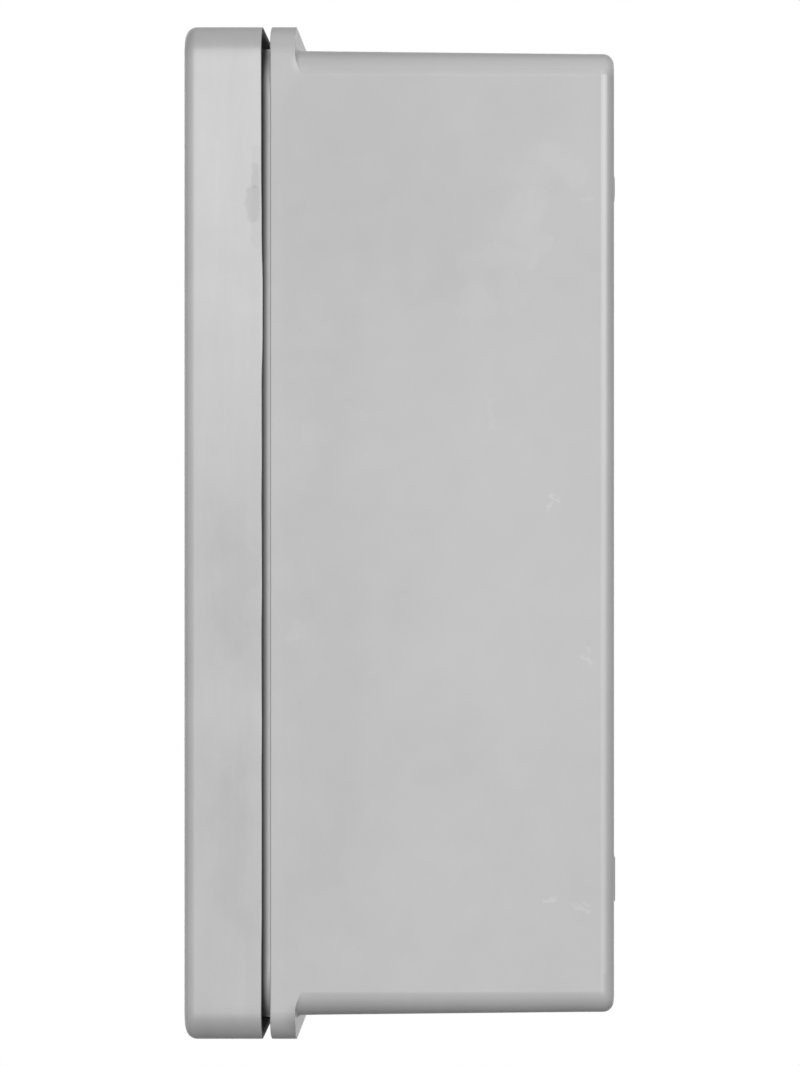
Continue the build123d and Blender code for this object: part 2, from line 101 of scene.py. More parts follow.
class Signal:
    """One shader value that Python arithmetic can be done on."""

    def __init__(self, bench: "Bench", socket: bpy.types.NodeSocket) -> None:
        """Keeps the socket and the bench that its nodes stand on."""
        self.bench = bench
        self.socket = socket

    def _math(self, operation: str, *values: "Value") -> "Signal":
        """Adds one Math node with its inputs in order."""
        return self.bench.add("ShaderNodeMath", {"operation": operation}, dict(enumerate(values)))

    def __add__(self, other: "Value") -> "Signal":
        """Sum."""
        return self._math("ADD", self, other)

    def __radd__(self, other: float) -> "Signal":
        """Sum with a number on the left."""
        return self._math("ADD", other, self)

    def __sub__(self, other: "Value") -> "Signal":
        """Difference."""
        return self._math("SUBTRACT", self, other)

    def __rsub__(self, other: float) -> "Signal":
        """Difference from a number on the left."""
        return self._math("SUBTRACT", other, self)

    def __mul__(self, other: "Value") -> "Signal":
        """Product."""
        return self._math("MULTIPLY", self, other)

    def __rmul__(self, other: float) -> "Signal":
        """Product with a number on the left."""
        return self._math("MULTIPLY", other, self)

    def __truediv__(self, other: "Value") -> "Signal":
        """Quotient."""
        return self._math("DIVIDE", self, other)

    def __pow__(self, other: "Value") -> "Signal":
        """Power."""
        return self._math("POWER", self, other)

    def root(self) -> "Signal":
        """Square root."""
        return self._math("SQRT", self)

    def absolute(self) -> "Signal":
        """Size without its sign."""
        return self._math("ABSOLUTE", self)

    def held(self) -> "Signal":
        """The value held between 0 and 1."""
        return self.bench.add("ShaderNodeClamp", {}, {"Value": self})

    def most(self, other: "Value") -> "Signal":
        """The larger of two values."""
        return self._math("MAXIMUM", self, other)

    def step(self, start: float, end: float) -> "Signal":
        """Smooth step between two values.

        Args:
            start: The value that gives 0.
            end: The value that gives 1; it may be the smaller.

        Returns:
            The stepped value, held between 0 and 1.
        """
        low, high = (start, end) if start < end else (end, start)
        rising = self.bench.add(
            "ShaderNodeMapRange", {"interpolation_type": "SMOOTHSTEP"},
            {"Value": self, "From Min": low, "From Max": high})
        return rising if start < end else 1 - rising


Value = Union[Signal, float]


class Bench:
    """Node tree of one material, with one method that makes any node in it."""

    sway_detail = 5.0
    sway_falloff = 0.62

    def __init__(self, name: str) -> None:
        """Starts an empty material with a surface shader."""
        self.material = bpy.data.materials.new(name)
        self.material.use_nodes = True
        self.tree = self.material.node_tree
        self.tree.nodes.clear()
        self.surface = self.tree.nodes.new("ShaderNodeBsdfPrincipled")
        self.output = self.tree.nodes.new("ShaderNodeOutputMaterial")
        self.tree.links.new(self.surface.outputs[0], self.output.inputs["Surface"])

    def node(self, kind: str, settings: dict[str, Any], inputs: dict[Any, Any]) -> bpy.types.Node:
        """Makes one node.

        Args:
            kind: The node's type.
            settings: Its properties.
            inputs: Values or signals by socket name or number.

        Returns:
            The node.
        """
        made = self.tree.nodes.new(kind)
        for key, value in settings.items():
            setattr(made, key, value)
        for key, value in inputs.items():
            self.feed(made.inputs[key], value)
        return made

    def add(self, kind: str, settings: dict[str, Any], inputs: dict[Any, Any], output: Any = 0) -> Signal:
        """Makes one node and gives one of its outputs as a signal."""
        return Signal(self, self.node(kind, settings, inputs).outputs[output])

    def feed(self, socket: bpy.types.NodeSocket, value: Any) -> None:
        """Links a signal to a socket, or sets the socket's own value.

        Args:
            socket: The input socket.
            value: A signal, a number, a colour of three levels or a vector.
        """
        if isinstance(value, Signal):
            self.tree.links.new(value.socket, socket)
        elif isinstance(value, tuple) and socket.type == "RGBA":
            socket.default_value = (*value, 1.0)
        else:
            socket.default_value = value

    def coat(self, **inputs: Any) -> bpy.types.Material:
        """Feeds the surface shader.

        Args:
            inputs: Values or signals by socket name, with underscores for its spaces.

        Returns:
            The finished material.
        """
        for key, value in inputs.items():
            self.feed(self.surface.inputs[key.replace("_", " ")], value)
        return self.material

    def place(self) -> Signal:
        """Place on the piece, in metres in the shared frame."""
        return self.add("ShaderNodeTexCoord", {}, {}, "Object")

    def axes(self, place: Signal) -> tuple[Signal, Signal, Signal]:
        """Splits a place into its three coordinates."""
        split = self.node("ShaderNodeSeparateXYZ", {}, {0: place})
        return tuple(Signal(self, socket) for socket in split.outputs)

    def turned(self, place: Signal, scale: Place, turn: Place = (0.0, 0.0, 0.0)) -> Signal:
        """Turns and stretches a place, for a pattern with a grain."""
        return self.add("ShaderNodeMapping", {"vector_type": "TEXTURE"},
                        {"Vector": place, "Scale": scale, "Rotation": turn})

    def cloud(self, place: Signal, size: float, octaves: Octaves, falloff: float = 0.55) -> Signal:
        """Soft noise about 0, from -0.5 to 0.5.

        Args:
            place: Where it is read.
            size: The size of a patch in metres.
            octaves: How much finer noise it has.
            falloff: How strong the finer noise is.

        Returns:
            The noise.
        """
        return self.add("ShaderNodeTexNoise", {}, {
            "Vector": place, "Scale": 1 / size, "Detail": octaves.value, "Roughness": falloff}) - 0.5

    def shaken(self, place: Signal, size: float, amount: float) -> Signal:
        """Shifts a place to and fro, for ragged outlines.

        Args:
            place: Where the pattern is read.
            size: The size of the raggedness in metres.
            amount: The widest range of the shift in metres.

        Returns:
            The shifted place.
        """
        sway = self.add("ShaderNodeTexNoise", {}, {
            "Vector": place, "Scale": 1 / size, "Detail": self.sway_detail,
            "Roughness": self.sway_falloff}, "Color")
        shift = self.add("ShaderNodeVectorMath", {"operation": "MULTIPLY_ADD"},
                         {0: sway, 1: (amount, amount, amount), 2: (-amount / 2, -amount / 2, -amount / 2)})
        return self.add("ShaderNodeVectorMath", {"operation": "ADD"}, {0: place, 1: shift})

    def mix(self, share: Value, under: Colour, over: Colour) -> Signal:
        """Lays one colour over another."""
        return self.add("ShaderNodeMix", {"data_type": "RGBA"},
                        {MIX_SHARE: share, MIX_UNDER: under, MIX_OVER: over}, MIX_RESULT)

    def grey(self, level: Signal) -> Signal:
        """Neutral colour of a level."""
        return self.add("ShaderNodeCombineColor", {}, {0: level, 1: level, 2: level})

    def bump(self, height: Signal, strength: float, distance: float) -> Signal:
        """Normal of a height map."""
        return self.add("ShaderNodeBump", {}, {"Height": height, "Strength": strength, "Distance": distance})


@dataclass(frozen=True)
class MarkAndLightStroke:
    """Pale or dark stroke on the side that carries the lock, drawn between two places in millimetres; strokes
    stand for real marks as well as painted highlights and painted shade.

    A place is a depth in front of the wall and a height above the middle. The taper is the share of the
    lift that is left at the end.
    """

    start: tuple[float, float]
    end: tuple[float, float]
    width: float
    lift: float
    edge: float = 0.6
    ragged: float = 1.0
    taper: float = 1.0
    tear_size: float = 1.6
    tear_reach: float = 3.0

    def strength(self, bench: Bench, place: Signal) -> Signal:
        """Builds the stroke's pattern.

        Args:
            bench: The material's bench.
            place: Where it is read.

        Returns:
            The change of tone at each place.
        """
        width = self.width * MM
        torn = bench.shaken(place, self.tear_size * width, self.tear_reach * self.ragged * width)
        _, y, z = bench.axes(torn)
        depth = -1 * y - self.start[0] * MM
        level = z - self.start[1] * MM
        run = (self.end[0] - self.start[0]) * MM
        rise = (self.end[1] - self.start[1]) * MM
        share = ((depth * run + level * rise) / (run ** 2 + rise ** 2)).held()
        away = ((depth - share * run) ** 2.0 + (level - share * rise) ** 2.0).root() / width
        return away.step(1.0, 1.0 - self.edge) * (1 - share * (1 - self.taper)) * self.lift


@dataclass(frozen=True)
class Polyester:
    """Grey moulded glass-fibre polyester, faintly clouded, with short fibres near its surface, and with
    painted light and painted shade laid into its tone on given zones.

    Sizes and places are in metres, and the other values are shares of the tone.
    """

    name: str
    tone: float = 0.5
    broad: float = 0.24
    broad_size: float = 0.16
    patchy: float = 0.1
    patch_size: float = 0.045
    patch_sway: float = 0.02
    patch_sway_size: float = 0.03
    soft_falloff: float = 0.5
    fine: float = 0.045
    fine_size: float = 0.012
    grain: float = 0.015
    grain_size: float = 0.0012
    fibre: float = 0.012
    fibre_layers: tuple[tuple[float, float], ...] = ((0.6, 0.012), (-0.9, 0.009))
    fibre_depth: float = 0.004
    fibre_width: float = 0.0007
    fibre_lean: float = 0.3
    fibre_range: tuple[float, float] = (0.58, 0.72)
    roughness: float = 0.38
    fine_dullness: float = 0.12
    broad_dullness: float = 0.1
    peel: float = 0.05
    peel_size: float = 0.0035
    sink_size: float = 0.05
    relief: float = 0.35
    relief_depth: float = 0.0006
    pale_marks_and_light: tuple[MarkAndLightStroke, ...] = ()
    dark_marks_and_shade: tuple[MarkAndLightStroke, ...] = ()
    side: float = 0.185
    side_blend: float = 0.004
    streaks: float = 0.0
    streak_size: Place = (0.006, 0.006, 0.07)
    streak_falloff: float = 0.6
    # Painted shade in the gap in front of the flange, darker towards the gap's ends
    gap_shade: float = 0.0
    gap_shade_start: float = 0.1710
    gap_shade_end: float = 0.1750
    gap_shade_thin: float = 0.17675
    gap_shade_clear: float = 0.182
    corner_shade: float = 0.1
    corner_range: tuple[float, float] = (0.1, 0.24)
    # Painted light: the body gets lighter towards its rear edge
    painted_rear_light: float = 0.0
    rear_light_reach: float = 0.2
    # Painted light on the door: lighter towards its top, and a painted lift on its front-edge rounding
    painted_head_light: float = 0.0
    head_start: float = -0.06
    head_end: float = 0.23
    front_edge: float = 0.2065
    edge_width: float = 0.004
    painted_edge_light: float = 0.1
    # Pale trimmed edge of the door: partly exposed fibre, partly a painted highlight
    trim_depth: float = 0.0
    trim_width: float = 0.0009
    trim_pale_and_highlight: float = 0.09
    trim_ragged: float = 0.0006
    trim_ragged_size: float = 0.004

    def _fibres(self, bench: Bench, place: Signal) -> Signal:
        """Builds crossed layers of short streaks.

        Args:
            bench: The material's bench.
            place: Where they are read.

        Returns:
            How much of the surface is fibre at each place.
        """
        layers = []
        for turn, length in self.fibre_layers:
            grain = bench.turned(place, (self.fibre_depth, length, self.fibre_width),
                                 (turn, 0.0, self.fibre_lean * turn))
            threads = bench.add("ShaderNodeTexNoise", {}, {"Vector": grain, "Scale": 1.0, "Detail": 1.0})
            layers.append(threads.step(*self.fibre_range))
        return reduce(Signal.__add__, layers)

    def _stroked(self, bench: Bench, place: Signal) -> Signal:
        """Change of tone by the strongest pale stroke and all dark ones, real marks and painted light and
        shade alike.
        """
        pale = reduce(Signal.most, [stroke.strength(bench, place) for stroke in self.pale_marks_and_light])
        return sum((stroke.strength(bench, place) for stroke in self.dark_marks_and_shade), pale)

    def _marks_and_painted_light(self, bench: Bench, place: Signal, shade: Signal) -> Signal:
        """Lays streaks and marks, painted light, a painted highlight and painted shade over the moulding's
        shade.

        Args:
            bench: The material's bench.
            place: Where it is read.
            shade: The shade of the clean moulding.

        Returns:
            The shade with its marks and its painted light and shade.
        """
        x, y, z = bench.axes(place)
        lock_side = x.step(self.side, self.side + self.side_blend)
        # Painted light: lighter towards the rear edge
        if self.painted_rear_light:
            shade = shade + y.step(-self.rear_light_reach, 0.0) * self.painted_rear_light
        # Painted light: lighter towards the top on the flat side, lifted evenly on the front-edge rounding
        if self.painted_head_light:
            flat = y.step(-self.front_edge - self.edge_width, -self.front_edge)
            head = z.step(self.head_start, self.head_end) * self.painted_head_light
            shade = shade + flat * head + (1 - flat) * self.painted_edge_light
        if self.streaks:
            drawn = bench.turned(place, self.streak_size)
            streaked = bench.cloud(drawn, 1.0, Octaves.RICH, self.streak_falloff)
            shade = shade + streaked * self.streaks * lock_side
        if self.pale_marks_and_light:
            shade = shade + self._stroked(bench, place) * lock_side
        # Painted shade: darkens the gap between the door and the flange, more towards the gap's ends
        if self.gap_shade:
            root = y.step(-self.gap_shade_start, -self.gap_shade_end) * y.step(-self.gap_shade_clear, -self.gap_shade_thin)
            corners = z.absolute().step(*self.corner_range) * self.corner_shade
            shade = shade * (1 - root * (corners + self.gap_shade))
        # Pale line on the trimmed edge: partly exposed fibre, partly a painted highlight
        if self.trim_depth:
            ragged = bench.cloud(place, self.trim_ragged_size, Octaves.SOFT) * self.trim_ragged
            trim = (y + ragged).step(-self.trim_depth - self.trim_width, -self.trim_depth)
            shade = shade + trim * self.trim_pale_and_highlight
        return shade

    def material(self) -> bpy.types.Material:
        """Builds the material.

        Returns:
            The material.
        """
        bench = Bench(self.name)
        place = bench.place()
        swayed = bench.shaken(place, self.patch_sway_size, self.patch_sway)
        broad = bench.cloud(place, self.broad_size, Octaves.SOFT, self.soft_falloff)
        patches = bench.cloud(swayed, self.patch_size, Octaves.SOFT, self.soft_falloff)
        fine = bench.cloud(place, self.fine_size, Octaves.RICH)
        grain = bench.cloud(place, self.grain_size, Octaves.GRAIN)
        shade = 1 + broad * self.broad + patches * self.patchy + fine * self.fine + grain * self.grain
        shade = shade + self._fibres(bench, place) * self.fibre
        peel = bench.cloud(place, self.peel_size, Octaves.GRAIN)
        sink = bench.cloud(place, self.sink_size, Octaves.GRAIN)
        return bench.coat(
            Base_Color=bench.grey(self._marks_and_painted_light(bench, place, shade) * self.tone),
            Roughness=fine * self.fine_dullness + broad * self.broad_dullness + self.roughness,
            Normal=bench.bump(peel * self.peel + sink, self.relief, self.relief_depth))


@dataclass(frozen=True)
class PlatedSteel:
    """Zinc-plated sheet or bar, with a faint passivation tint and fine rolling marks."""

    name: str
    pale: Colour = (0.34, 0.35, 0.36)
    tint: Colour = (0.30, 0.30, 0.29)
    roughness: float = 0.46
    spangle: float = 0.02
    streak: float = 0.12
    rolling: Place = (0.0006, 0.0006, 0.05)
    rolling_falloff: float = 0.5
    mottle: float = 1.6
    mottle_size: float = 0.03
    flake_tint: float = 0.25
    base_tint: float = 0.35
    flake_dullness: float = 0.08
    relief: float = 0.15
    relief_depth: float = 0.0001

    def material(self) -> bpy.types.Material:
        """Builds the material.

        Returns:
            The material.
        """
        bench = Bench(self.name)
        place = bench.place()
        cells = bench.add("ShaderNodeTexVoronoi", {}, {"Vector": place, "Scale": 1 / self.spangle}, "Color")
        flake = bench.axes(cells)[0] - 0.5
        lines = bench.cloud(bench.turned(place, self.rolling), 1.0, Octaves.SOFT, self.rolling_falloff)
        cloud = bench.cloud(place, self.mottle_size, Octaves.SOFT)
        tinted = cloud * self.mottle + flake * self.flake_tint + self.base_tint
        return bench.coat(
            Base_Color=bench.mix(tinted.step(0.0, 1.0), self.pale, self.tint),
            Metallic=1.0,
            Roughness=flake * self.flake_dullness + lines * self.streak + self.roughness,
            Normal=bench.bump(lines, self.relief, self.relief_depth))


@dataclass(frozen=True)
class Turned:
    """Metal turned on a lathe or cold headed, mottled with a darker tone."""

    name: str
    tone: Colour
    deep: Colour
    roughness: float
    mottle: float = 2.0
    mottle_size: float = 0.004
    base_mottle: float = 0.4
    grain_size: float = 0.0005
    mottle_dullness: float = 0.15
    grain_dullness: float = 0.1
    relief: float = 0.12
    relief_depth: float = 0.0001

    def material(self) -> bpy.types.Material:
        """Builds the material.

        Returns:
            The material.
        """
        bench = Bench(self.name)
        place = bench.place()
        cloud = bench.cloud(place, self.mottle_size, Octaves.SOFT)
        grain = bench.cloud(place, self.grain_size, Octaves.GRAIN)
        mottled = (cloud * self.mottle + self.base_mottle).step(0.0, 1.0)
        return bench.coat(
            Base_Color=bench.mix(mottled, self.tone, self.deep),
            Metallic=1.0,
            Roughness=cloud * self.mottle_dullness + grain * self.grain_dullness + self.roughness,
            Normal=bench.bump(grain, self.relief, self.relief_depth))


@dataclass(frozen=True)
class Foam:
    """Closed-cell foam or soft rubber, matt and finely pored."""

    name: str
    tone: Colour = (0.035, 0.035, 0.038)
    worn: Colour = (0.075, 0.075, 0.078)
    pore: float = 0.0011
    depth: float = 0.0005
    relief: float = 0.5
    mottle: float = 2.0
    mottle_size: float = 0.012
    pore_wear: float = 0.6
    wear_full: float = 1.1
    roughness: float = 0.82
    mottle_dullness: float = 0.15

    def material(self) -> bpy.types.Material:
        """Builds the material.

        Returns:
            The material.
        """
        bench = Bench(self.name)
        place = bench.place()
        pores = bench.add("ShaderNodeTexVoronoi", {}, {"Vector": place, "Scale": 1 / self.pore}, "Distance")
        cloud = bench.cloud(place, self.mottle_size, Octaves.RICH)
        wear = (cloud * self.mottle + pores * self.pore_wear).step(0.0, self.wear_full)
        return bench.coat(
            Base_Color=bench.mix(wear, self.tone, self.worn),
            Roughness=cloud * self.mottle_dullness + self.roughness,
            Normal=bench.bump(pores, self.relief, self.depth))


@dataclass(frozen=True)
class Nylon:
    """Black moulded nylon with a fine matt grain."""

    name: str
    tone: Colour = (0.03, 0.03, 0.032)
    scuffed: Colour = (0.09, 0.09, 0.092)
    scuff: float = 2.2
    scuff_size: float = 0.006
    base_scuff: float = 0.1
    roughness: float = 0.5
    scuff_dullness: float = 0.2
    grain_size: float = 0.0006
    relief: float = 0.25
    relief_depth: float = 0.0002

    def material(self) -> bpy.types.Material:
        """Builds the material.

        Returns:
            The material.
        """
        bench = Bench(self.name)
        place = bench.place()
        grain = bench.cloud(place, self.grain_size, Octaves.GRAIN)
        cloud = bench.cloud(place, self.scuff_size, Octaves.RICH)
        scuffs = (cloud * self.scuff + self.base_scuff).step(0.0, 1.0)
        return bench.coat(
            Base_Color=bench.mix(scuffs, self.tone, self.scuffed),
            Roughness=cloud * self.scuff_dullness + self.roughness,
            Normal=bench.bump(grain, self.relief, self.relief_depth))


@dataclass
class Workshop:
    """Turns CAD nodes and bmeshes into dressed pieces that ride on their bodies.

    The weld is in metres. Faces that turn less than the flat angle become one, and edges flatter than
    the smooth angle are shaded smooth, both in degrees.
    """

    weld: float = 0.002 * MM
    flat: float = 0.3
    smooth: float = 30.0

    def dress(self, finish: bpy.types.Material, nodes: Iterable[str]) -> None:
        """Gives CAD nodes a finish.

        Args:
            finish: The material.
            nodes: Names of the nodes.
        """
        for name in nodes:
            for holder in frame["nodes"][name].material_slots:
                holder.material = finish
            log.info("dressed %s with %s", name, finish.name)

    def copy_of(self, node: str) -> bmesh.types.BMesh:
        """Copies a CAD node's mesh, joined up and with its flat faces whole.

        Args:
            node: The node's name.

        Returns:
            The copy, to be shaped and freed.
        """
        shape = bmesh.new()
        shape.from_mesh(frame["nodes"][node].data)
        bmesh.ops.remove_doubles(shape, verts=shape.verts, dist=self.weld)
        bmesh.ops.dissolve_limit(shape, angle_limit=math.radians(self.flat), verts=shape.verts,
                                 edges=shape.edges, use_dissolve_boundaries=False, delimit={"NORMAL"})
        return shape

    def piece(self, name: str, shape: bmesh.types.BMesh, finishes: Iterable[bpy.types.Material], body: Body,
              replaced: Iterable[str]) -> bpy.types.Object:
        """Makes a shown piece of a bmesh.

        Args:
            name: The piece's name.
            shape: Its mesh, which is freed.
            finishes: Its materials, in the order of its faces' numbers.
            body: The body that it rides on.
            replaced: CAD nodes that it stands for.

        Returns:
            The piece.
        """
        mesh = bpy.data.meshes.new(name)
        for face in shape.faces:
            face.smooth = True
        shape.to_mesh(mesh)
        shape.free()
        mesh.set_sharp_from_angle(angle=math.radians(self.smooth))
        for finish in finishes:
            mesh.materials.append(finish)
        made = bpy.data.objects.new(name, mesh)
        bpy.context.scene.collection.objects.link(made)
        even = made.modifiers.new("even_normals", "WEIGHTED_NORMAL")
        even.keep_sharp = True
        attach(made, body.value)
        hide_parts(*replaced)
        log.info("made %s, %d faces, on %s", name, len(mesh.polygons), body.value)
        return made


def bevel(shape: bmesh.types.BMesh, edges: Iterable[bmesh.types.BMEdge], width: float, segments: int) -> None:
    """Rounds edges.

    Args:
        shape: The mesh.
        edges: The edges to round.
        width: Width of the round in metres.
        segments: Faces across it.
    """
    bmesh.ops.bevel(shape, geom=list(edges), offset=width, offset_type="OFFSET", segments=segments,
                    profile=0.5, affect="EDGES", clamp_overlap=True, material=-1)


def sharp(edge: bmesh.types.BMEdge, angle: float = 40.0) -> bool:
    """Whether an edge turns more than an angle in degrees."""
    return len(edge.link_faces) == 2 and edge.calc_face_angle() > math.radians(angle)


def at_depth(edge: bmesh.types.BMEdge, depth: float, slack: float = 0.05 * MM) -> bool:
    """Whether both ends of an edge lie at a value of Y."""
    return all(abs(vert.co.y - depth) < slack for vert in edge.verts)


@dataclass
class DoorLeaf:
    """Door moulding with a hand-trimmed rear edge, and its foam gasket.

    Places and sizes are in metres. The bulge, ripple, nick and sag are shares of the wave's reach, and
    their rates are in cells of the noise per metre.
    """

    rear: float = 0.1752
    half_width: float = 0.2
    half_height: float = 0.25
    side_inset: float = 6.0 * MM
    trim_inset: float = 4.5 * MM
    edge_round: float = 0.5 * MM
    trim_slack: float = 0.6 * MM
    facing_rear: float = 0.7
    wave_pitch: float = 6.0 * MM
    wave_zone: float = 0.236
    wave_reach: float = 0.9 * MM
    fade_power: int = 6
    bulge: float = 0.75
    bulge_level: float = 0.112
    bulge_spread: float = 0.035
    ripple: float = 0.28
    ripple_rate: float = 42.0
    ripple_seat: tuple[float, float] = (0.0, 3.7)
    nick: float = 0.12
    nick_rate: float = 130.0
    nick_seat: tuple[float, float] = (5.1, 0.4)
    sag: float = 0.22
    sag_level: float = 0.06
    sag_spread: float = 0.02
    foam_round: float = 3.4 * MM
    foam_segments: int = 5
    foam_pitch: float = 9.0 * MM
    foam_wander: float = 0.35 * MM
    foam_rate: float = 55.0
    foam_fine_rate: float = 160.0
    foam_fine: float = 0.5

    def trimmed(self, level: float) -> float:
        """Works out how far the trimmed edge stands out.

        Args:
            level: The height above the middle.

        Returns:
            The distance.
        """
        bulge = self.bulge * math.exp(-((level - self.bulge_level) / self.bulge_spread) ** 2)
        ripple = self.ripple * (0.5 + noise.noise(Vector((*self.ripple_seat, level * self.ripple_rate))))
        nick = self.nick * max(0.0, noise.noise(Vector((*self.nick_seat, level * self.nick_rate))))
        sag = self.sag / (1.0 + math.exp((level - self.sag_level) / self.sag_spread))
        fade = max(0.0, 1.0 - abs(level / self.wave_zone) ** self.fade_power)
        return self.wave_reach * (bulge + ripple + nick + sag) * fade

    def build_leaf(self, shop: Workshop, finish: bpy.types.Material, cut: bpy.types.Material) -> None:
        """Makes the door moulding.

        Args:
            shop: The workshop.
            finish: The moulding's material.
            cut: The material of its trimmed rear edge, painted dark as shade.
        """
        leaf = shop.copy_of("door")
        inner = self.half_width - self.side_inset
        level = -self.wave_zone
        while level < self.wave_zone:
            level += self.wave_pitch
            side = [face for face in leaf.faces if min(vert.co.x for vert in face.verts) > inner]
            geometry = side + list({edge for face in side for edge in face.edges})
            geometry += list({vert for face in side for vert in face.verts})
            bmesh.ops.bisect_plane(leaf, geom=geometry, plane_co=(0.0, 0.0, level), plane_no=(0.0, 0.0, 1.0))
        for vert in leaf.verts:
            on_side = vert.co.x > self.half_width - self.trim_inset
            if on_side and vert.co.y > -self.rear - self.trim_slack:
                vert.co.y += self.trimmed(vert.co.z)
        leaf.normal_update()
        for face in leaf.faces:
            # The rear-facing trimmed faces take the dark cut-edge material: painted shade
            at_rear = face.calc_center_median().y > -self.rear - self.edge_round
            if at_rear and face.normal.y > self.facing_rear:
                face.material_index = 1
        shop.piece("door_leaf", leaf, [finish, cut], Body.DOOR, ["door"])

    def build_gasket(self, shop: Workshop, finish: bpy.types.Material) -> None:
        """Makes the foam gasket, crowned and a little uneven.

        Args:
            shop: The workshop.
            finish: The foam's material.
        """
        low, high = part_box("door_gasket")
        foam = shop.copy_of("door_gasket")
        crown = [edge for edge in foam.edges if at_depth(edge, high.y) and sharp(edge)]
        bevel(foam, crown, self.foam_round, self.foam_segments)
        across, up = Vector((1.0, 0.0, 0.0)), Vector((0.0, 0.0, 1.0))
        for normal, reach in ((across, self.half_width), (up, self.half_height)):
            for index in range(1, int(2 * reach / self.foam_pitch)):
                everything = foam.verts[:] + foam.edges[:] + foam.faces[:]
                cut = normal * (index * self.foam_pitch - reach)
                bmesh.ops.bisect_plane(foam, geom=everything, plane_co=cut, plane_no=normal)
        for vert in foam.verts:
            if vert.co.y > low.y + self.foam_round:
                fine = self.foam_fine * noise.noise(vert.co * self.foam_fine_rate)
                sway = noise.noise(vert.co * self.foam_rate) + fine
                vert.co.y = min(high.y, vert.co.y - abs(sway) * self.foam_wander)
        gasket = shop.piece("foam_gasket", foam, [finish], Body.DOOR, ["door_gasket"])


@dataclass
class LockSeal:
    """Rubber ring under the lock's flange."""

    edge: float = 0.35 * MM
    segments: int = 2

    def build(self, shop: Workshop, finish: bpy.types.Material) -> None:
        """Makes the ring with rounded edges.

        Args:
            shop: The workshop.
            finish: The rubber's material.
        """
        ring = shop.copy_of("lock_seal")
        bevel(ring, [edge for edge in ring.edges if sharp(edge)], self.edge, self.segments)
        made = shop.piece("rubber_lock_ring", ring, [finish], Body.DOOR, ["lock_seal"])


@dataclass(frozen=True)
class Lamp:
    """Soft rectangular lamp, with its place and size in metres and its power in watts."""

    name: str
    place: Place
    size: tuple[float, float]
    power: float

    def hang(self, aim: Place) -> None:
        """Hangs the lamp so that it faces a place.

        Args:
            aim: The place.
        """
        light = bpy.data.lights.new(self.name, "AREA")
        light.shape = "RECTANGLE"
        light.size, light.size_y = self.size
        light.energy = self.power
        lamp = bpy.data.objects.new(self.name, light)
        lamp.location = self.place
        lamp.rotation_euler = (Vector(aim) - Vector(self.place)).to_track_quat("-Z", "Y").to_euler()
        bpy.context.scene.collection.objects.link(lamp)


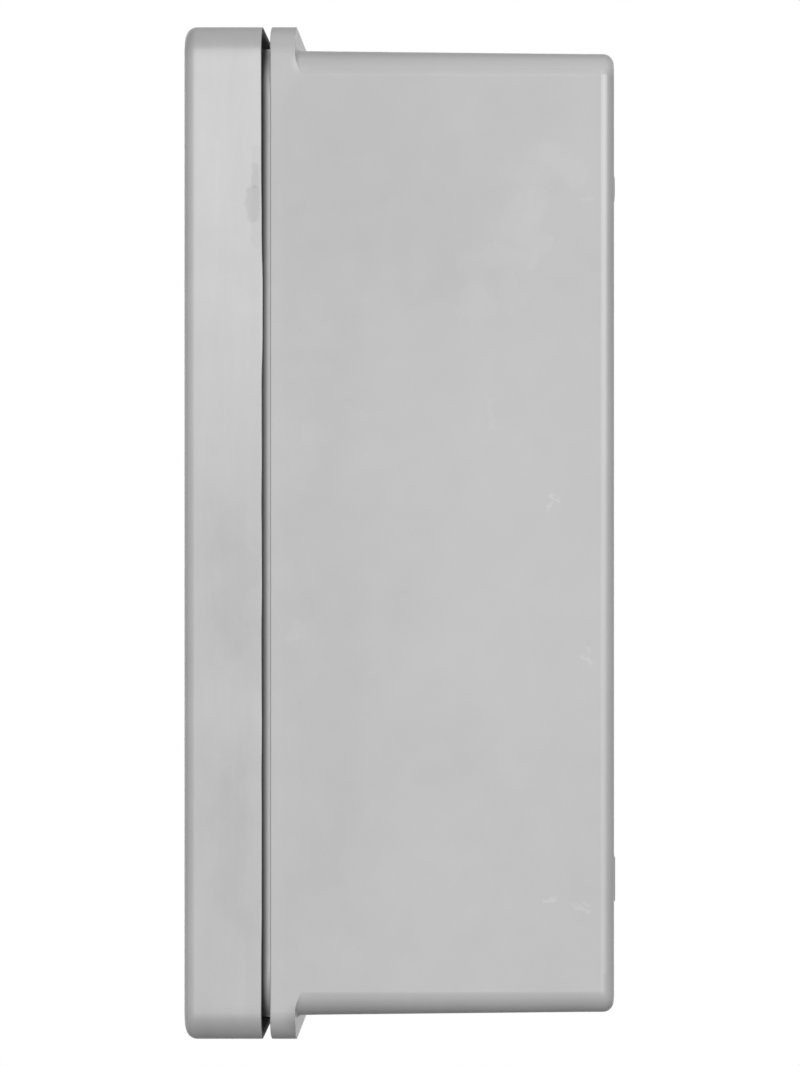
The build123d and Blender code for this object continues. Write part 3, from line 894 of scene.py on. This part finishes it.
@dataclass
class Studio:
    """Camera at the photograph's view, soft light and a pale floor."""

    distance: float = 1.570
    half_width: float = 0.2
    aim_y: float = -0.0607
    aim_z: float = 0.0
    pixel: float = 0.4899 * MM
    offset_pixels: float = -95.0
    sensor: float = 36.0
    floor_level: float = -0.95
    floor_reach: float = 1.0
    floor_tone: Colour = (0.9, 0.9, 0.9)
    floor_roughness: float = 0.9
    floor_shine: float = 0.1
    fade_start: float = 0.2
    fade_end: float = 0.95
    floor_glow: float = 0.8
    ambient: float = 0.03
    key_spread: float = 44.0
    key_strength: float = 2.15
    key_tilt: float = 2.5
    lamp_aim: Place = (0.0, -0.1, 0.0)
    lamps: tuple[Lamp, ...] = (
        Lamp("rear_strip", (1.9, 0.8, 0.5), (0.2, 0.9), 2.5),
        Lamp("overhead", (0.1, -0.1, 1.6), (1.0, 1.0), 1.5),
        Lamp("front_fill", (-1.95, -1.2, 0.2), (2.6, 2.6), 15.0),
        Lamp("rear_fill", (-1.9, 1.2, 0.2), (2.4, 2.4), 7.0),
    )

    def camera(self) -> bpy.types.Object:
        """Sets the camera beside the object, level with its middle.

        Returns:
            The camera.
        """
        lens = bpy.data.cameras.new("camera")
        lens.sensor_width = self.sensor
        lens.lens = self.sensor * self.distance / (self.pixel * PHOTO_HEIGHT)
        lens.shift_x = self.offset_pixels / PHOTO_HEIGHT
        camera = bpy.data.objects.new("camera", lens)
        camera.location = (self.half_width + self.distance, self.aim_y, self.aim_z)
        camera.rotation_euler = (math.radians(90.0), 0.0, math.radians(90.0))
        bpy.context.scene.collection.objects.link(camera)
        bpy.context.scene.camera = camera
        return camera

    def key(self, camera: bpy.types.Object) -> None:
        """Lights what the camera sees with a soft sun that goes along with it.

        Args:
            camera: The camera.
        """
        sun = bpy.data.lights.new("key", "SUN")
        sun.angle = math.radians(self.key_spread)
        sun.energy = self.key_strength
        key = bpy.data.objects.new("key", sun)
        key.parent = camera
        key.rotation_euler = (-math.radians(self.key_tilt), 0.0, 0.0)
        bpy.context.scene.collection.objects.link(key)

    def world(self) -> None:
        """Makes a surround that is seen as white and lights the object faintly."""
        world = bpy.data.worlds.new("surround")
        bpy.context.scene.world = world
        world.use_nodes = True
        tree = world.node_tree
        tree.nodes.clear()
        path = tree.nodes.new("ShaderNodeLightPath")
        shown = tree.nodes.new("ShaderNodeMath")
        shown.operation = "MAXIMUM"
        tree.links.new(path.outputs["Is Camera Ray"], shown.inputs[0])
        clear = tree.nodes.new("ShaderNodeMath")
        clear.operation = "MAXIMUM"
        tree.links.new(path.outputs["Is Glossy Ray"], clear.inputs[0])
        tree.links.new(path.outputs["Is Transmission Ray"], clear.inputs[1])
        tree.links.new(clear.outputs[0], shown.inputs[1])
        strength = tree.nodes.new("ShaderNodeMapRange")
        strength.inputs["To Min"].default_value = self.ambient
        strength.inputs["To Max"].default_value = 1.0
        tree.links.new(shown.outputs[0], strength.inputs["Value"])
        sky = tree.nodes.new("ShaderNodeBackground")
        tree.links.new(strength.outputs[0], sky.inputs["Strength"])
        sky.inputs["Color"].default_value = (1.0, 1.0, 1.0, 1.0)
        output = tree.nodes.new("ShaderNodeOutputWorld")
        tree.links.new(sky.outputs[0], output.inputs["Surface"])

    def floor(self) -> None:
        """Lays a pale floor that fades to white away from the object."""
        bench = Bench("pale_floor")
        x, y, _ = bench.axes(bench.place())
        away = (x ** 2.0 + y ** 2.0).root().step(self.fade_start, self.fade_end)
        seen = bench.add("ShaderNodeLightPath", {}, {}, "Is Camera Ray")
        glow = (away * (1 - self.floor_glow) + self.floor_glow) * seen
        bench.coat(Base_Color=self.floor_tone, Roughness=self.floor_roughness,
                   Specular_IOR_Level=self.floor_shine)
        white = bench.node("ShaderNodeEmission", {}, {"Color": (1.0, 1.0, 1.0), "Strength": 1.0})
        mixed = bench.node("ShaderNodeMixShader", {}, {0: glow})
        bench.tree.links.new(bench.surface.outputs[0], mixed.inputs[1])
        bench.tree.links.new(white.outputs[0], mixed.inputs[2])
        bench.tree.links.new(mixed.outputs[0], bench.output.inputs["Surface"])
        plane = bmesh.new()
        bmesh.ops.create_grid(plane, x_segments=1, y_segments=1, size=self.floor_reach,
                              matrix=Matrix.Translation((0.0, 0.0, self.floor_level)))
        mesh = bpy.data.meshes.new("floor")
        plane.to_mesh(mesh)
        plane.free()
        mesh.materials.append(bench.material)
        floor = bpy.data.objects.new("floor", mesh)
        bpy.context.scene.collection.objects.link(floor)

    def build(self) -> None:
        """Sets up the whole studio."""
        bpy.context.scene.view_settings.view_transform = "Standard"
        self.key(self.camera())
        self.world()
        self.floor()
        for lamp in self.lamps:
            lamp.hang(self.lamp_aim)


# Pale cloud on the body's upper half
CLOUD_RUBS = (
    MarkAndLightStroke((35.0, 186.0), (20.0, 177.0), 8.0, 0.05, 0.7),
    MarkAndLightStroke((38.0, 178.0), (44.0, 165.0), 11.0, 0.045, 0.8),
    MarkAndLightStroke((45.0, 164.0), (45.0, 148.0), 14.0, 0.045, 0.8),
    MarkAndLightStroke((35.0, 144.0), (43.0, 134.0), 5.0, 0.055),
    MarkAndLightStroke((46.0, 137.0), (68.0, 135.0), 8.0, 0.045, 0.7),
    MarkAndLightStroke((71.0, 132.0), (72.0, 128.0), 10.0, 0.045, 0.8),
    MarkAndLightStroke((70.0, 122.0), (69.0, 115.0), 13.0, 0.045, 0.8),
    MarkAndLightStroke((55.0, 124.0), (51.0, 114.0), 7.0, 0.03),
)
# Small scuffs on the body, then painted highlights along its rear edge rounding, painted light on the top
# roundings of the tub and flange, paler zones on the flange and a small pale patch
SCUFFS_AND_HIGHLIGHTS = (
    MarkAndLightStroke((63.0, 66.0), (61.5, 52.0), 3.4, 0.045, 1.0, 1.2),
    MarkAndLightStroke((32.5, 18.0), (31.0, 16.0), 2.2, 0.16, 1.0, 1.6),
    MarkAndLightStroke((33.0, 15.0), (35.0, 11.0), 1.6, 0.12, 1.0, 1.6),
    MarkAndLightStroke((17.5, -61.0), (13.0, -64.0), 1.6, 0.13, 1.0, 1.6),
    MarkAndLightStroke((16.0, -55.5), (14.0, -58.0), 1.6, 0.08, 1.0, 1.6),
    MarkAndLightStroke((36.5, -180.2), (30.5, -179.4), 1.7, 0.13, 1.0, 1.2),
    MarkAndLightStroke((22.0, -182.5), (15.0, -185.3), 1.8, 0.12, 1.0, 1.4),
    MarkAndLightStroke((17.0, -181.0), (15.5, -183.0), 1.4, 0.1, 1.0, 1.4),
    MarkAndLightStroke((13.0, 164.0), (18.0, 163.5), 1.2, 0.07, 0.9),
    # Painted highlights along the rear edge rounding
    MarkAndLightStroke((6.9, 224.0), (6.9, -70.0), 2.3, 0.46, 0.9, 0.04, 0.2),
    MarkAndLightStroke((7.0, -30.0), (7.0, -215.0), 2.3, 0.1, 0.9, 0.04),
    MarkAndLightStroke((8.4, 227.0), (8.4, 30.0), 0.6, 0.26, 0.7, 0.25, 0.5),
    MarkAndLightStroke((8.4, 34.0), (8.4, -226.0), 0.6, 0.13, 0.7, 0.25, 0.8),
    # Painted light on the top roundings of the tub and the flange
    MarkAndLightStroke((4.0, 230.0), (156.0, 230.0), 7.0, 0.3, 0.9, 0.05, 0.9),
    MarkAndLightStroke((158.0, 242.0), (171.0, 242.0), 9.0, 0.2, 1.0, 0.05),
    MarkAndLightStroke((160.0, 228.0), (168.0, 224.0), 14.0, 0.06, 1.0, 0.3),
    MarkAndLightStroke((168.0, 232.0), (168.0, -232.0), 5.0, 0.02, 0.9, 0.25),
    MarkAndLightStroke((161.5, -51.0), (157.0, -46.0), 4.5, 0.045, 0.9),
)
# Darker zones of the body, the last two painted shade on the lower roundings of the tub and the flange
BODY_SHADES = (
    MarkAndLightStroke((140.0, 165.0), (95.0, 150.0), 55.0, -0.045, 1.0, 0.6),
    MarkAndLightStroke((144.0, 110.0), (142.0, -190.0), 26.0, -0.04, 1.0, 0.8),
    # Painted shade on the lower roundings of the tub and the flange
    MarkAndLightStroke((0.0, -238.5), (156.0, -238.5), 11.0, -0.34, 1.0, 0.05),
    MarkAndLightStroke((160.0, -250.0), (171.0, -250.0), 13.0, -0.28, 1.0, 0.05),
)
# Dark patch beside the door's rear edge, then painted shade on the door's top and bottom roundings, and two
# broad smudges
DOOR_SHADES = (
    MarkAndLightStroke((177.4, 188.0), (177.4, 142.0), 3.4, -0.06, 0.5, 0.3),
    MarkAndLightStroke((178.2, 179.5), (178.0, 171.0), 2.6, -0.13, 0.6, 0.4),
    MarkAndLightStroke((179.2, 167.5), (179.2, 155.5), 4.4, -0.185, 0.5, 0.4),
    # Painted shade on the door's top and bottom roundings
    MarkAndLightStroke((170.0, 247.0), (216.0, 247.0), 17.0, -0.22, 0.8, 0.05),
    MarkAndLightStroke((170.0, -249.0), (216.0, -249.0), 20.0, -0.24, 1.0, 0.05),
    MarkAndLightStroke((190.0, 8.0), (188.0, -50.0), 15.0, -0.06, 0.9),
    MarkAndLightStroke((190.0, -118.0), (188.0, -185.0), 15.0, -0.055, 0.9),
)
# Pale patches on the door
DOOR_PALE = (
    MarkAndLightStroke((205.0, -80.0), (182.0, -88.0), 24.0, 0.06, 0.9),
    MarkAndLightStroke((206.0, 118.0), (185.0, 112.0), 13.0, 0.03, 0.7),
    MarkAndLightStroke((196.0, 190.0), (194.0, 150.0), 11.0, 0.03, 0.8),
)


def clear_stage() -> None:
    """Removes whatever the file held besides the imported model."""
    kept = {*frame["nodes"].values(), *frame["bodies"].values()}
    for leftover in [item for item in bpy.data.objects if item not in kept]:
        bpy.data.objects.remove(leftover)


def dress_fittings(shop: Workshop) -> None:
    """Gives the metal and nylon fittings their finishes.

    Args:
        shop: The workshop.
    """
    sheet = PlatedSteel("zinc_sheet").material()
    bar = PlatedSteel("zinc_bar", pale=(0.47, 0.48, 0.49), tint=(0.42, 0.41, 0.39), roughness=0.38,
                      spangle=0.008).material()
    bolts = Turned("plated_fastener", (0.47, 0.47, 0.48), (0.35, 0.34, 0.32), 0.32).material()
    lock = Turned("satin_lock_metal", (0.2, 0.2, 0.21), (0.14, 0.14, 0.15), 0.48).material()
    brass = Turned("brass_insert", (0.74, 0.55, 0.22), (0.52, 0.36, 0.12), 0.3).material()
    nylon = Nylon("guide_nylon").material()
    shop.dress(sheet, ["mounting_plate", "upper_hinge_bracket", "lower_hinge_bracket", "upper_keeper",
                       "lower_keeper", "side_keeper"])
    shop.dress(bar, ["upper_hinge_arm", "lower_hinge_arm", "upper_rod", "lower_rod", "lock_cam"])
    shop.dress(bolts, ["plate_screws", "plate_washers", "hinge_bracket_screws", "hinge_arm_screws",
                       "guide_screws", "keeper_screws", "cam_screw", "cam_washer", "upper_hinge_pin",
                       "lower_hinge_pin", "hinge_clips", "rod_clips"])
    shop.dress(lock, ["lock_housing", "lock_nut", "lock_rotor"])
    shop.dress(brass, ["plate_inserts", "hinge_bracket_inserts", "hinge_arm_inserts", "guide_inserts",
                       "keeper_inserts"])
    shop.dress(nylon, ["upper_rod_guide", "lower_rod_guide"])


def main() -> None:
    """Builds and dresses the enclosure and its studio."""
    clear_stage()
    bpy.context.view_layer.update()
    shop = Workshop()
    leaf = DoorLeaf()
    body_shell = Polyester("polyester_body", tone=0.485, painted_rear_light=0.05, gap_shade=0.72,
                           pale_marks_and_light=CLOUD_RUBS + SCUFFS_AND_HIGHLIGHTS, dark_marks_and_shade=BODY_SHADES).material()
    door_shell = Polyester("polyester_door", tone=0.49, painted_head_light=0.28, streaks=0.12, pale_marks_and_light=DOOR_PALE,
                           dark_marks_and_shade=DOOR_SHADES, trim_depth=leaf.rear).material()
    # Dark cut-edge material: painted shade on the rear face of the door's rim
    shaded_cut_edge = Polyester("polyester_cut_edge", tone=0.2, roughness=0.8).material()
    foam = Foam("gasket_foam").material()
    rubber = Foam("seal_rubber", pore=0.0006, depth=0.0002).material()

    shop.dress(body_shell, ["body"])
    dress_fittings(shop)
    leaf.build_leaf(shop, door_shell, shaded_cut_edge)
    leaf.build_gasket(shop, foam)
    LockSeal().build(shop, rubber)
    Studio().build()


if __name__ == "__main__":
    main()
